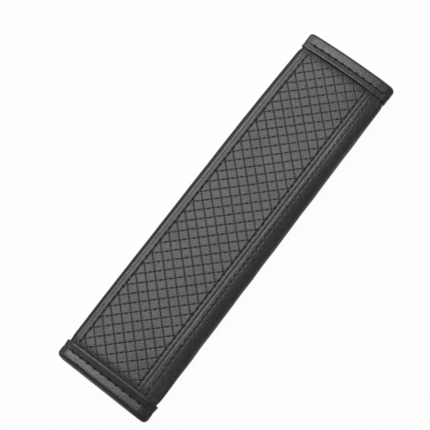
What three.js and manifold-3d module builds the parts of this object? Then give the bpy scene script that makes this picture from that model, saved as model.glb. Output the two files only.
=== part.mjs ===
// A seat belt shoulder pad, closed round its belt channel and lying on its back, quilted face up.
// Lengths are in millimetres. X runs across the pad from its free edge to its fold, Y along it, Z up.
// The origin is in the middle of the pad, on the surface that it rests on.
//
// The pad is one padded sheet, folded once along its right-hand side. Its section is drawn along the
// outside of the cover: a place on it is a distance "along" the cover, counted from the front leaf's
// free edge, over the front, round the fold and over the back, and a "depth" below the cover's surface.

import * as THREE from 'three';
import { mergeVertices } from 'three/addons/utils/BufferGeometryUtils.js';
import Module from 'manifold-3d';

// The whole pad
const padLength = 260;
const padWidth = 65;
const channelHeight = 4.7;

// The layers of a leaf, from the outside in
const coverThickness = 1.2;
const foamThickness = 2.2;
const liningThickness = 0.6;
const layerGap = 0.15;

// The quilted panel, from the left-hand seam to the right-hand one
const panelInset = 3.7;
const panelWidth = 49.8;
const panelMargin = 2.85;
const diamondWidth = 8.3;
const diamondLength = 8.15;
const diamondShift = -5.7;
const quiltDepth = 0.8;
const borderDepth = 0.6;
const smallestBorderGap = 0.4;

// The seams beside the quilted panel, and the topstitching beside the right-hand one
const seamGap = 0.3;
const seamDepth = 0.9;
const ridgeWidth = 1.8;
const ridgeCrest = 1.1;
const ridgeShoulder = 0.55;
const ridgeHeight = 0.35;
const topstitchInset = 3.3;
const topstitchWidth = 1.6;
const topstitchDepth = 0.4;

// The free edges: the cover is turned in, and the closure tapes are sewn over its raw edge
const hemWidth = 8;
const tapeInset = 0.3;
const tapeWidth = 10;
const tapeThickness = 0.7;
const tapeSelvedge = 1;
const tapeEndGap = 1.5;
const closedTapeGap = 0.15;

// The bindings round the two ends
const bindingWidth = 12;
const bindingThickness = 1.1;
const bindingRise = 0.6;
const innerBindingThickness = 0.7;
const innerBindingRise = 0.25;
const bindingEndThickness = 1.2;
const bindingStitchInset = 4.3;
const bindingStitchWidth = 1.6;
const bindingStitchDepth = 0.5;
const bindingLipRound = 0.3;
const pocketOverrun = 1;
const rollRise = 0.85;
const rollLength = 3;
const dipLength = 3.6;
const dipLead = 0.4;

// How finely the curves are drawn
const foldSteps = 10;
const edgeSteps = 6;
const noseAngles = [82, 58, 30];
const rollAngles = [0, 28, 52, 70, 84];
const dipSteps = 3;
const shortestStep = 0.12;

// Sizes that follow from the ones above
const leafThickness = coverThickness + foamThickness + liningThickness + 2 * layerGap;
const edgeRadius = leafThickness / 2;
const foldRadius = leafThickness + channelHeight / 2;
const restHeight = Math.max(bindingRise, rollRise);
const frontLevel = restHeight + 2 * foldRadius;
const middleLevel = restHeight + foldRadius;
const edgeCentreX = -padWidth / 2 + edgeRadius;
const foldCentreX = padWidth / 2 - foldRadius;
const flatLength = foldCentreX - edgeCentreX;
const foldLength = Math.PI * foldRadius;
const edgeLength = Math.PI * edgeRadius;
const coverLength = 2 * flatLength + foldLength;
const leftSeam = panelInset - edgeRadius;
const rightSeam = leftSeam + panelWidth;
const lipY = padLength / 2 - bindingWidth;
const leafEndY = padLength / 2 - bindingEndThickness - layerGap;
const outerPress = bindingThickness + layerGap - bindingRise;
const innerPress = innerBindingThickness + layerGap - innerBindingRise;

const mix = THREE.MathUtils.lerp;

// A point of the section, at a depth below the cover's outside
function sectionPoint(along, depth) {
  if (along > coverLength / 2) {
    const opposite = sectionPoint(coverLength - along, depth);
    return { x: opposite.x, z: 2 * middleLevel - opposite.z };
  }
  if (along > flatLength) {
    const turn = (along - flatLength) / foldRadius;
    const radius = foldRadius - depth;
    return { x: foldCentreX + radius * Math.sin(turn), z: middleLevel + radius * Math.cos(turn) };
  }
  if (along >= 0) {
    return { x: edgeCentreX + along, z: frontLevel - depth };
  }
  if (along > -edgeLength) {
    const turn = -along / edgeRadius;
    const radius = edgeRadius - depth;
    const edgeCentreZ = frontLevel - edgeRadius;
    return { x: edgeCentreX - radius * Math.sin(turn), z: edgeCentreZ + radius * Math.cos(turn) };
  }
  return { x: edgeCentreX - along - edgeLength, z: frontLevel - 2 * edgeRadius + depth };
}

// How far round a free edge a place is: 0 on the outside, 1 where the cover is turned in
function turnedIn(along) {
  const fromNearerEdge = Math.min(along, coverLength - along);
  return THREE.MathUtils.clamp(-fromNearerEdge / edgeLength, 0, 1);
}

// Places along the section where it starts or stops bending, or bends on
function bendPlaces() {
  const places = [];
  for (let step = 0; step <= edgeSteps; step += 1) {
    places.push(-edgeLength * step / edgeSteps, coverLength + edgeLength * step / edgeSteps);
  }
  for (let step = 0; step <= foldSteps; step += 1) {
    places.push(flatLength + foldLength * step / foldSteps);
  }
  return places;
}

// The places between two ends, in order, with none too close to its neighbour
function placesBetween(start, end, ...lists) {
  const kept = [start];
  const inOrder = [...bendPlaces(), ...lists.flat()].sort((a, b) => a - b);
  for (const place of inOrder) {
    if (place > kept[kept.length - 1] + shortestStep && place < end - shortestStep) {
      kept.push(place);
    }
  }
  kept.push(end);
  return kept;
}

// The depth that a profile of [distance, depth] points gives at a distance
function profileDepth(profile, distance) {
  const next = profile.findIndex(([place]) => place >= distance);
  if (next < 0) {
    return profile[profile.length - 1][1];
  }
  if (next === 0) {
    return profile[0][1];
  }
  const [fromPlace, fromDepth] = profile[next - 1];
  const [toPlace, toDepth] = profile[next];
  return mix(fromDepth, toDepth, (distance - fromPlace) / (toPlace - fromPlace));
}

// A closed solid of sections that follow each other along Y. Each holds pairs of an outer and an
// inner point, so the solid is a ribbon with two faces, two long edges and two ends.
function ribbonSolid(sections) {
  const count = sections[0].pairs.length;
  const positions = sections.flatMap(({ y, pairs }) => [
    ...pairs.flatMap(({ outer }) => [outer.x, y, outer.z]),
    ...pairs.flatMap(({ inner }) => [inner.x, y, inner.z]),
  ]);
  const outerIndex = (section, pair) => section * 2 * count + pair;
  const innerIndex = (section, pair) => section * 2 * count + count + pair;
  const faces = [];
  const quad = (a, b, c, d) => faces.push(a, b, c, a, c, d);
  const last = sections.length - 1;
  for (let section = 0; section < last; section += 1) {
    const next = section + 1;
    for (let pair = 0; pair + 1 < count; pair += 1) {
      quad(outerIndex(section, pair), outerIndex(section, pair + 1),
        outerIndex(next, pair + 1), outerIndex(next, pair));
      quad(innerIndex(section, pair + 1), innerIndex(section, pair),
        innerIndex(next, pair), innerIndex(next, pair + 1));
    }
    quad(innerIndex(section, 0), outerIndex(section, 0), outerIndex(next, 0), innerIndex(next, 0));
    quad(outerIndex(section, count - 1), innerIndex(section, count - 1),
      innerIndex(next, count - 1), outerIndex(next, count - 1));
  }
  for (let pair = 0; pair + 1 < count; pair += 1) {
    quad(outerIndex(0, pair + 1), outerIndex(0, pair), innerIndex(0, pair), innerIndex(0, pair + 1));
    quad(outerIndex(last, pair), outerIndex(last, pair + 1),
      innerIndex(last, pair + 1), innerIndex(last, pair));
  }
  return closedGeometry(positions, faces);
}

// An indexed geometry whose faces point out
function closedGeometry(positions, faces) {
  const corner = (index) => new THREE.Vector3().fromArray(positions, 3 * index);
  let volume = 0;
  for (let face = 0; face < faces.length; face += 3) {
    const [a, b, c] = [corner(faces[face]), corner(faces[face + 1]), corner(faces[face + 2])];
    volume += a.dot(b.cross(c)) / 6;
  }
  const geometry = new THREE.BufferGeometry();
  geometry.setAttribute('position', new THREE.Float32BufferAttribute(positions, 3));
  geometry.setIndex(volume > 0 ? faces : [...faces].reverse());
  geometry.computeVertexNormals();
  return geometry;
}

// Sections of a leaf along Y: under the bindings it is pressed thin, and it dips towards their lips
function leafSections() {
  const half = [{ y: leafEndY, press: 1 }];
  for (let step = 0; step <= dipSteps; step += 1) {
    const share = step / dipSteps;
    half.push({
      y: lipY + mix(-dipLead, -dipLength, share),
      press: 1 - THREE.MathUtils.smoothstep(share, 0, 1),
    });
  }
  const mirrored = half.map(({ y, press }) => ({ y: -y, press }));
  return [...mirrored, ...half.reverse()];
}

// How much a leaf is pressed in at any place along Y
function pressAt(y) {
  const share = (lipY - dipLead - Math.abs(y)) / (dipLength - dipLead);
  return 1 - THREE.MathUtils.smoothstep(share, 0, 1);
}

// The cover's outside is pressed in by the binding's lip, and where it is turned in, by the inner lip
function coverPress(along) {
  return mix(outerPress, innerPress, turnedIn(along));
}

// A leather panel of the cover, with the relief that its profile gives beside its seam
function coverPanel(start, end, seam, profile) {
  const fromSeam = (along) => Math.abs(along - seam);
  const towards = Math.sign(start + end - 2 * seam);
  const places = placesBetween(start, end, profile.map(([distance]) => seam + towards * distance));
  const sections = leafSections().map(({ y, press }) => ({
    y,
    pairs: places.map((along) => {
      const pressed = coverPress(along);
      const leather = mix(coverThickness, liningThickness, turnedIn(along));
      return {
        outer: sectionPoint(along, mix(profileDepth(profile, fromSeam(along)), pressed, press)),
        inner: sectionPoint(along, leather + press * pressed),
      };
    }),
  }));
  return ribbonSolid(sections);
}

// The folded edge beside a seam: it rises out of the seam into a narrow ridge
function ridgeProfile() {
  return [
    [seamGap / 2, seamDepth],
    [ridgeShoulder, 0],
    [ridgeCrest, -ridgeHeight],
    [ridgeWidth, 0],
  ];
}

function freeEdgePanel() {
  const start = -edgeLength - hemWidth;
  return coverPanel(start, leftSeam - seamGap / 2, leftSeam, ridgeProfile());
}

function foldAndBackPanel() {
  const end = coverLength + edgeLength + hemWidth;
  const topstitch = [
    [topstitchInset - topstitchWidth / 2, 0],
    [topstitchInset, topstitchDepth],
    [topstitchInset + topstitchWidth / 2, 0],
  ];
  return coverPanel(rightSeam + seamGap / 2, end, rightSeam, [...ridgeProfile(), ...topstitch]);
}

// Places across the quilted panel, each with its lattice column or with a fixed depth
function quiltColumns() {
  const step = diamondWidth / 4;
  const fieldWidth = panelWidth - 2 * panelMargin;
  const diamondsAcross = Math.floor((fieldWidth - 2 * smallestBorderGap) / diamondWidth);
  const centre = leftSeam + panelWidth / 2;
  const columns = [];
  for (let column = -2 * diamondsAcross; column <= 2 * diamondsAcross; column += 1) {
    columns.push({ along: centre + column * step, column, edge: Math.abs(column) === 2 * diamondsAcross });
  }
  const outside = [
    { inset: seamGap / 2, depth: seamDepth },
    { inset: panelMargin / 2, depth: 0 },
    { inset: panelMargin, depth: borderDepth },
  ];
  const left = outside.map(({ inset, depth }) => ({ along: leftSeam + inset, depth }));
  const right = outside.map(({ inset, depth }) => ({ along: rightSeam - inset, depth }));
  return [...left, ...columns, ...right.reverse()];
}

// Places along the quilted panel: its ends under the bindings, and every lattice row between the lips
function quiltRows() {
  const step = diamondLength / 4;
  const last = lipY - dipLead;
  const rows = [{ y: -leafEndY }, { y: -last }];
  const lowest = Math.ceil((-last - diamondShift) / step);
  for (let row = lowest; diamondShift + row * step < last; row += 1) {
    rows.push({ y: diamondShift + row * step, row });
  }
  return [...rows, { y: last }, { y: leafEndY }];
}

// The depth of the quilting: nothing at the middle of a diamond, all of it on the stitch lines
function quiltReliefDepth({ column, depth, edge }, { row }) {
  if (depth !== undefined) {
    return depth;
  }
  if (row === undefined) {
    return quiltDepth;
  }
  const across = Math.cos(Math.PI * (column + row) / 4) * Math.cos(Math.PI * (column - row) / 4);
  const pillow = Math.sqrt(Math.abs(across));
  return quiltDepth * (1 - (edge ? pillow / 2 : pillow));
}

// The quilted panel: its face has the diamonds, and its underside is plain
function quiltedPanel() {
  const columns = quiltColumns();
  const rows = quiltRows();
  const under = placesBetween(columns[0].along, columns[columns.length - 1].along);
  const positions = [];
  for (const place of rows) {
    const press = pressAt(place.y);
    for (const column of columns) {
      const relief = mix(quiltReliefDepth(column, place), outerPress, press);
      const point = sectionPoint(column.along, relief);
      positions.push(point.x, place.y, point.z);
    }
    for (const along of under) {
      const point = sectionPoint(along, coverThickness + press * outerPress);
      positions.push(point.x, place.y, point.z);
    }
  }
  const width = columns.length + under.length;
  const faceIndex = (row, column) => row * width + column;
  const underIndex = (row, column) => row * width + columns.length + column;
  const faces = [];
  const addSlanted = (a, b, c, d) => faces.push(a, b, d, b, c, d);
  const addRising = (a, b, c, d) => faces.push(a, b, c, a, c, d);
  for (let row = 0; row + 1 < rows.length; row += 1) {
    for (let column = 0; column + 1 < columns.length; column += 1) {
      const corners = [faceIndex(row, column), faceIndex(row, column + 1),
        faceIndex(row + 1, column + 1), faceIndex(row + 1, column)];
      const latticeSum = (columns[column].column ?? 0) + (rows[row].row ?? 0) + 1;
      const add = latticeSum % 2 === 0 ? addSlanted : addRising;
      add(...corners);
    }
    for (let column = 0; column + 1 < under.length; column += 1) {
      addRising(underIndex(row, column + 1), underIndex(row, column),
        underIndex(row + 1, column), underIndex(row + 1, column + 1));
    }
    addRising(underIndex(row, 0), faceIndex(row, 0), faceIndex(row + 1, 0), underIndex(row + 1, 0));
    addRising(faceIndex(row, columns.length - 1), underIndex(row, under.length - 1),
      underIndex(row + 1, under.length - 1), faceIndex(row + 1, columns.length - 1));
  }
  const face = columns.map(({ along }) => along);
  closeEnd(faces, face, under, (column) => faceIndex(0, column), (column) => underIndex(0, column), true);
  const last = rows.length - 1;
  closeEnd(faces, face, under, (column) => faceIndex(last, column), (column) => underIndex(last, column), false);
  return closedGeometry(positions, faces);
}

// The end wall between the points of a face and the fewer points of its underside
function closeEnd(faces, face, under, faceIndex, underIndex, reversed) {
  const add = (a, b, c) => faces.push(...(reversed ? [a, c, b] : [a, b, c]));
  let upper = 0;
  let lower = 0;
  while (upper + 1 < face.length || lower + 1 < under.length) {
    const upperIsNext = lower + 1 === under.length
      || (upper + 1 < face.length && face[upper + 1] <= under[lower + 1]);
    if (upperIsNext) {
      add(faceIndex(upper), faceIndex(upper + 1), underIndex(lower));
      upper += 1;
    } else {
      add(underIndex(lower), faceIndex(upper), underIndex(lower + 1));
      lower += 1;
    }
  }
}

// A section right round the pad between two depths, with a rounded nose at each free edge
function sleevePairs(outerDepth, innerDepth, noseReach) {
  const middle = (outerDepth + innerDepth) / 2;
  const half = (innerDepth - outerDepth) / 2;
  const nose = noseAngles.map((degrees) => {
    const angle = THREE.MathUtils.degToRad(degrees);
    const x = edgeCentreX - noseReach * Math.sin(angle);
    const rise = half * Math.cos(angle);
    return {
      outer: { x, z: frontLevel - middle + rise },
      inner: { x, z: frontLevel - middle - rise },
    };
  });
  const flip = ({ x, z }) => ({ x, z: 2 * middleLevel - z });
  const backNose = nose.map(({ outer, inner }) => ({ outer: flip(outer), inner: flip(inner) })).reverse();
  const round = placesBetween(0, coverLength).map((along) => ({
    outer: sectionPoint(along, outerDepth),
    inner: sectionPoint(along, innerDepth),
  }));
  return [...nose, ...round, ...backNose];
}

function foamCore() {
  const outerDepth = coverThickness + layerGap;
  const sections = leafSections().map(({ y, press }) => {
    const outer = outerDepth + press * outerPress;
    const inner = outerDepth + foamThickness - press * innerPress;
    return { y, pairs: sleevePairs(outer, inner, (inner - outer) / 2) };
  });
  return ribbonSolid(sections);
}

function lining() {
  const start = hemWidth + layerGap;
  const places = placesBetween(start, coverLength - start);
  const sections = leafSections().map(({ y, press }) => ({
    y,
    pairs: places.map((along) => ({
      outer: sectionPoint(along, leafThickness - liningThickness - press * innerPress),
      inner: sectionPoint(along, leafThickness - press * innerPress),
    })),
  }));
  return ribbonSolid(sections);
}

// A closure tape inside one leaf: a flat tape with a raised field of loops or hooks
function closureTape(facingDown) {
  const seat = middleLevel + (channelHeight / 2 - layerGap);
  const height = seat - middleLevel - closedTapeGap / 2;
  const profile = new THREE.Shape([
    [0, 0], [tapeWidth, 0], [tapeWidth, tapeThickness], [tapeWidth - tapeSelvedge, tapeThickness],
    [tapeWidth - tapeSelvedge, height], [tapeSelvedge, height], [tapeSelvedge, tapeThickness],
    [0, tapeThickness],
  ].map(([x, y]) => new THREE.Vector2(x, y)));
  const length = 2 * (lipY - tapeEndGap);
  const geometry = new THREE.ExtrudeGeometry(profile, { depth: length, bevelEnabled: false });
  geometry.rotateX(Math.PI / 2);
  geometry.translate(0, length / 2, 0);
  if (facingDown) {
    geometry.rotateY(Math.PI);
    geometry.translate(tapeWidth, 0, 0);
  }
  const level = facingDown ? seat : 2 * middleLevel - seat;
  geometry.translate(edgeCentreX + tapeInset, 0, level);
  return geometry;
}

// A binding's outside, from its lip over the stitch groove and the roll to the end of the pad
function bindingProfile() {
  const middle = leafThickness / 2;
  const innerReach = leafThickness + innerBindingRise - middle;
  const stitch = bindingWidth - bindingStitchInset;
  const inner = leafThickness + innerBindingRise;
  const flat = [
    { fromEnd: bindingWidth, outer: bindingLipRound - bindingRise, inner },
    { fromEnd: bindingWidth - bindingLipRound, outer: -bindingRise, inner },
    { fromEnd: stitch + bindingStitchWidth / 2, outer: -bindingRise, inner },
    { fromEnd: stitch, outer: bindingStitchDepth - bindingRise, inner },
    { fromEnd: stitch - bindingStitchWidth / 2, outer: -bindingRise, inner },
    { fromEnd: (rollLength + stitch) / 2, outer: -rollRise, inner },
  ];
  const widest = Math.sin(THREE.MathUtils.degToRad(rollAngles[rollAngles.length - 1]));
  const roll = rollAngles.map((degrees) => {
    const angle = THREE.MathUtils.degToRad(degrees);
    return {
      fromEnd: rollLength * (1 - Math.sin(angle) / widest),
      outer: middle - (middle + rollRise) * Math.cos(angle),
      inner: middle + innerReach * Math.cos(angle),
    };
  });
  return [...flat, ...roll];
}

// A binding: the folded leather strip that covers one end of the pad, outside and inside
function endBinding(solids, side) {
  const placeY = (fromEnd) => side * (padLength / 2 - fromEnd);
  const envelope = bindingProfile().map(({ fromEnd, outer, inner }) => ({
    y: placeY(fromEnd),
    pairs: sleevePairs(outer, inner, edgeRadius - outer),
  }));
  const outer = outerPress - layerGap;
  const inner = leafThickness - innerPress + layerGap;
  const pocket = [bindingWidth + pocketOverrun, bindingEndThickness].map((fromEnd) => ({
    y: placeY(fromEnd),
    pairs: sleevePairs(outer, inner, edgeRadius - outer),
  }));
  return solids.subtract(ribbonSolid(envelope), ribbonSolid(pocket));
}

// Cuts one closed geometry out of another
async function solidCutter() {
  const library = await Module();
  library.setup();
  const toSolid = (geometry) => {
    const bare = geometry.clone();
    bare.deleteAttribute('normal');
    const merged = mergeVertices(bare);
    return new library.Manifold(new library.Mesh({
      numProp: 3,
      vertProperties: new Float32Array(merged.attributes.position.array),
      triVerts: new Uint32Array(merged.index.array),
    }));
  };
  const subtract = (body, tool) => {
    const mesh = toSolid(body).subtract(toSolid(tool)).getMesh();
    const geometry = new THREE.BufferGeometry();
    geometry.setAttribute('position', new THREE.BufferAttribute(mesh.vertProperties, 3));
    geometry.setIndex(new THREE.BufferAttribute(mesh.triVerts, 1));
    geometry.computeVertexNormals();
    return geometry;
  };
  return { subtract };
}

const leather = { roughness: 0.55, metalness: 0 };
const cloth = { roughness: 0.95, metalness: 0 };
const materials = {
  quiltedLeather: new THREE.MeshStandardMaterial({ color: 0x3a3a3b, ...leather }),
  smoothLeather: new THREE.MeshStandardMaterial({ color: 0x2f2f30, ...leather }),
  bindingLeather: new THREE.MeshStandardMaterial({ color: 0x343435, ...leather }),
  foam: new THREE.MeshStandardMaterial({ color: 0xb9b6ae, ...cloth }),
  liningCloth: new THREE.MeshStandardMaterial({ color: 0x1d1d1e, ...cloth }),
  hookTape: new THREE.MeshStandardMaterial({ color: 0x151515, ...cloth }),
  loopTape: new THREE.MeshStandardMaterial({ color: 0x191919, ...cloth }),
};

function named(name, geometry, material) {
  const mesh = new THREE.Mesh(geometry, material);
  mesh.name = name;
  return mesh;
}

const solids = await solidCutter();
const pad = new THREE.Group();
pad.add(
  named('quilted_front_panel', quiltedPanel(), materials.quiltedLeather),
  named('free_edge_panel', freeEdgePanel(), materials.smoothLeather),
  named('fold_and_back_panel', foldAndBackPanel(), materials.smoothLeather),
  named('foam_core', foamCore(), materials.foam),
  named('lining', lining(), materials.liningCloth),
  named('loop_strip', closureTape(true), materials.loopTape),
  named('hook_strip', closureTape(false), materials.hookTape),
  named('top_end_binding', endBinding(solids, 1), materials.bindingLeather),
  named('bottom_end_binding', endBinding(solids, -1), materials.bindingLeather),
);

export default pad;
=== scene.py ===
# A seat belt shoulder pad: a quilted front panel on a padded leather sleeve, with a bound end at each end.
# Sizes are in millimetres unless a comment says otherwise, and points become metres when a mesh is made.

import math

import bpy
import numpy as np
from mathutils import Matrix, Vector


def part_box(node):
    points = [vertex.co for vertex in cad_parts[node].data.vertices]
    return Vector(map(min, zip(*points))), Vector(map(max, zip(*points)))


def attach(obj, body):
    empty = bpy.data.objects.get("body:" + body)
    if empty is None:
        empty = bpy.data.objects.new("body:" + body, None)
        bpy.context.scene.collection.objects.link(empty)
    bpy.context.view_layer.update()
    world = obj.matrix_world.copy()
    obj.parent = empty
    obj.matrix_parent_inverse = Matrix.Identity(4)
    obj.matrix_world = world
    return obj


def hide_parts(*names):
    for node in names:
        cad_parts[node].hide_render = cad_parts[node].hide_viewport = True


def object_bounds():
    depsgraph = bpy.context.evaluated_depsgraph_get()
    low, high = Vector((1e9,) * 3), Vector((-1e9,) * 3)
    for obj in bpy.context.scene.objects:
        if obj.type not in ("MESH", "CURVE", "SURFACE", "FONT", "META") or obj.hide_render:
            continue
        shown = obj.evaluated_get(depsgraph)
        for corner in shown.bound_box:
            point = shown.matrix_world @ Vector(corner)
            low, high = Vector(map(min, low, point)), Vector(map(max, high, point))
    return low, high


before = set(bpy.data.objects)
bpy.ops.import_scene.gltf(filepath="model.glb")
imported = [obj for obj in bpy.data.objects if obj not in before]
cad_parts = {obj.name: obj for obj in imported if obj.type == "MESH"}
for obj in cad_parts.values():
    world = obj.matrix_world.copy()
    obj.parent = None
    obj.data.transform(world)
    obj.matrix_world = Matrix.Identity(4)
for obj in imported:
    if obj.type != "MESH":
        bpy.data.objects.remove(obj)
cad_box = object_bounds()
MM = 0.001

# The camera, which looks down on the pad from above its fold
CAMERA_PLACE = (161.156, -170.270, 731.110)
CAMERA_TARGET = (-8.604, -4.560, 13.610)
CAMERA_ROLL = -9.015
CAMERA_LENS = 103.8
CAMERA_SENSOR = 36.0

# The layers of a leaf, from the outside in
COVER_THICKNESS = 1.2
FOAM_THICKNESS = 2.2
LINING_THICKNESS = 0.6
LAYER_GAP = 0.15
LEAF_THICKNESS = COVER_THICKNESS + FOAM_THICKNESS + LINING_THICKNESS + 2 * LAYER_GAP

# The quilting
DIAMOND_WIDTH = 8.3
DIAMOND_LENGTH = 8.15
DIAMOND_SHIFT = -5.7
LINE_GAP = 1 / math.hypot(1 / DIAMOND_WIDTH, 1 / DIAMOND_LENGTH)
HOLES_PER_SIDE = 4
PILLOW_RISE = 0.1
PILLOW_EDGE = 0.2
GROOVE_DEPTH = 0.25
GROOVE_WIDTH = 0.16
PANEL_MARGIN = 2.85
MARGIN_DROP = (0.12, 0.17)
RELIEF_KEPT = 0.5

# The rows of stitches at the borders of the quilting
BORDER_DEPTH = 0.26
BORDER_WIDTH = 0.22
# BORDER_SHADE is painted shade in the border rows' grooves; their needle holes get full painted shade
BORDER_SHADE = 0.2
HOLE_DEPTH = 0.5
HOLE_HALF_WIDTH = 0.42
HOLE_HALF_LENGTH = (0.95, 0.75)

# Painted shade in the leather's colour at the quilting's needle holes and along its stitch lines, for each
# slant
MARKS_PER_SIDE = (4, 2)
MARK_HALF_LENGTH = (0.4, 0.95)
MARK_HALF_WIDTH = 0.5
MARK_LIGHTEST = 0.65
LINE_SHADE = 0.05

# The seams beside the quilting, with the ridge of the folded leather next to each, and painted shade in each
# seam
SEAM_GAP = 0.3
SEWN_GAP = 0.08
SEAM_WIDTH = 0.14
SEAM_SHADE_WIDTH = 0.2
LEFT_SEAM_DEPTH = 0.08
LEFT_SEAM_SHADE = 0.15
LEFT_RIDGE = {"crest": 0.6, "half_width": 0.4, "height": 0.05}
RIGHT_SEAM_DEPTH = 0.28
RIGHT_SEAM_SHADE = 0.6
RIGHT_RIDGE = {"crest": 1.45, "half_width": 0.36, "height": 0.02}

# The smooth leather beyond the seams, with painted shade along the topstitch, in its needle holes and round
# the free edge's turn
STRIP_SLOPE = 0.055
STRIP_WIDTH = 7
TOPSTITCH_INSET = 2.95
TOPSTITCH_STEP = 0.08
TOPSTITCH_STEP_WIDTH = 0.9
TOPSTITCH_HOLE_DEPTH = 0.3
TOPSTITCH_LINE_SHADE = 0.1
HEM_WIDTH = 8
EDGE_RIPPLE = 0.05
EDGE_RIPPLE_SIZE = 14
EDGE_SHADE = 0.85
EDGE_SHADE_PLACES = (0.2, -0.4, -1.4, -2.6)
FOLD_RIPPLE = 0.07
FOLD_RIPPLE_SIZE = 22

# The closure tapes
TAPE_INSET = 0.3
TAPE_WIDTH = 10
TAPE_THICKNESS = 0.7
TAPE_SELVEDGE = 1
TAPE_END_GAP = 1.5
CLOSED_TAPE_GAP = 0.15
TAPE_SEAM_INSET = 1.1
TAPE_SEAM_PITCH = 3.2
TAPE_GROOVE_DEPTH = 0.2
TAPE_GROOVE_WIDTH = 0.8
TAPE_HOLE_DEPTH = 0.35
# Painted shade in the tape seams' needle holes
TAPE_HOLE_SHADE = 0.8
TUFT_WIDTH = 0.8
TUFT_LENGTH = 1.35
TUFT_DEPTH = 0.3
RIB_PITCH = 0.9
RIB_HEIGHT = 0.04

# The bindings. Where a value differs between the ends, 1 is the top end and -1 the bottom end
BINDING_THICKNESS = 1.1
BINDING_RISE = 0.6
INNER_BINDING_THICKNESS = 0.7
INNER_BINDING_RISE = 0.25
BINDING_END_THICKNESS = 1.2
BINDING_STITCH_INSET = {1: 4.3, -1: 4.85}
BINDING_STITCH_PITCH = 5.44
BINDING_PHASE = {1: 4.6, -1: 0.0}
BINDING_SPACING = 0.34
BINDING_TIGHTNESS = 0.7
BINDING_BACK_LEVEL = -0.65
SIDE_THINNING = 0.35
NOSE_THINNING = 0.3
NOSE_WIDTH = 1.5
FOLD_LEAD = 2
FOLD_EASE = 3
LIP_FOOT = 0.25
LIP_CREST_PLACES = (0, 20, 45, 62)
LIP_CREST = {1: (0.75, 1.05, 0.85, 0.4), -1: (1.3, 1.6, 1.75, 1.85)}
LIP_ROUND = 0.5
LIP_RIM = 0.5
ROLL_CREST = {1: 0.9, -1: 1.05}
ROLL_LENGTH = {1: 2.6, -1: 3.3}
ROLL_SWELL = 0.22
ROLL_TOP = 3.6
SHOULDER = 0.5
NOTCH_LENGTH = 1.0
NOTCH_HALF_WIDTH = 1.15
NOTCH_DEPTH = 0.4
NOTCH_FLOOR = 0.3
STITCH_LINE_DEPTH = 0.06
STITCH_LINE_WIDTH = 0.25
# Painted shade along a binding's stitch line and in its notches
STITCH_LINE_SHADE = 0.12
NOTCH_SHADE = 0.85
DIP_LENGTH = 5.5
DIP_LEAD = 0.4
# A painted shadow line where a leaf goes in under a lip
CONTACT_SHADE = 0.9
CONTACT_WIDTH = 0.32

# How a hand-sewn, slightly flattened pad differs from straight, even sections.
# Where a pair is given, the first value is for the bottom end and the second for the top end
SKEW = 0.0077
TAPER_LEAD = 0.4
TAPER_POWER = 1.6
TOP_TAPER = 1.3
TOP_TAPER_START = 10
END_TAPER = 2.4
END_EASE = 3
BEVEL_LEAD = 0.55
BEVEL_SLOPE = 0.72
TOP_BEVEL_LOSS = 0.75
PANEL_SHIFT = 0.25
LEFT_WIDENING = -0.55
LEFT_END_WIDENING = (0.4, -0.4)
LEFT_EASE = 4
RIGHT_WIDENING = 0.6
RIGHT_END_WIDENING = (-0.3, -0.75)
RIGHT_EASE = 5
TOP_DRAW = 0.8
TOP_DRAW_START = 45
LIP_OFFSET = (0.5, 0.45)
LIP_TILT = (0.0, -0.016)
END_OFFSET = (0.67, 0.2)
END_TILT = (-0.0165, -0.014)
LIP_EASE = 6
UNEVENNESS = 0.12
UNEVENNESS_SIZE = 55
END_SINK = 0.75
SINK_LENGTH = 6
END_CROWN = 2.1
CROWN_LENGTH = 40
CROWN_X = -8
CROWN_REACH = 30

# Thread
QUILT_THREAD_RADIUS = 0.13
ROW_THREAD_RADIUS = 0.2
HEAVY_THREAD_RADIUS = 0.24
STITCH_DIVE = 0.45
ROW_END_GAP = 0.6

# The swelling of the quilted leather, worked out at a larger scale so that the solver is steady
SWELL_SCALE = 0.05
SWELL_PRESSURE = 2.5
SWELL_FRAMES = 14
SWELL_LIMIT = 0.08
GRID_PER_DIAMOND = 12
EDGE_COLUMNS = (0, 0.25, 0.6)

# Grey levels of the finishes, as linear reflectance
QUILTED_GREY = 0.026
SMOOTH_GREY = 0.028
BINDING_GREY = 0.019
THREAD_GREY = 0.009
LINING_GREY = 0.020
TAPE_GREY = 0.015
FOAM_GREY = 0.45
FLOOR_GREY = 0.55
FLOOR_GLOW = 0.965

# The grain and the tone of the leather
WARP_SHARE = 0.0006
PEBBLE_SOFTNESS = 0.6
PEBBLE_HEIGHT = -1.6
FINE_GRAIN_SIZE = 1.1
FINE_GRAIN_HEIGHT = 2.2
FLECK_CONTRAST = 2.8
PATCH_CONTRAST = 0.24
GLOSS_CONTRAST = 0.12
# How far painted shade darkens the leather's colour
PAINTED_SHADE_STRENGTH = 0.99

# The light
LIGHT_DIRECTION = (-0.35, 0.195, 0.912)
LIGHT_DISTANCE = 1.2
LIGHT_WIDTH = 0.55
LIGHT_LENGTH = 1.15
LIGHT_POWER = 20.0
WORLD_LEVEL = 0.12

SEED = 7


def span(node, axis):
    """The lowest and highest place of a node of the frame along one axis."""
    lowest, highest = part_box(node)
    return lowest[axis] / MM, highest[axis] / MM


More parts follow.
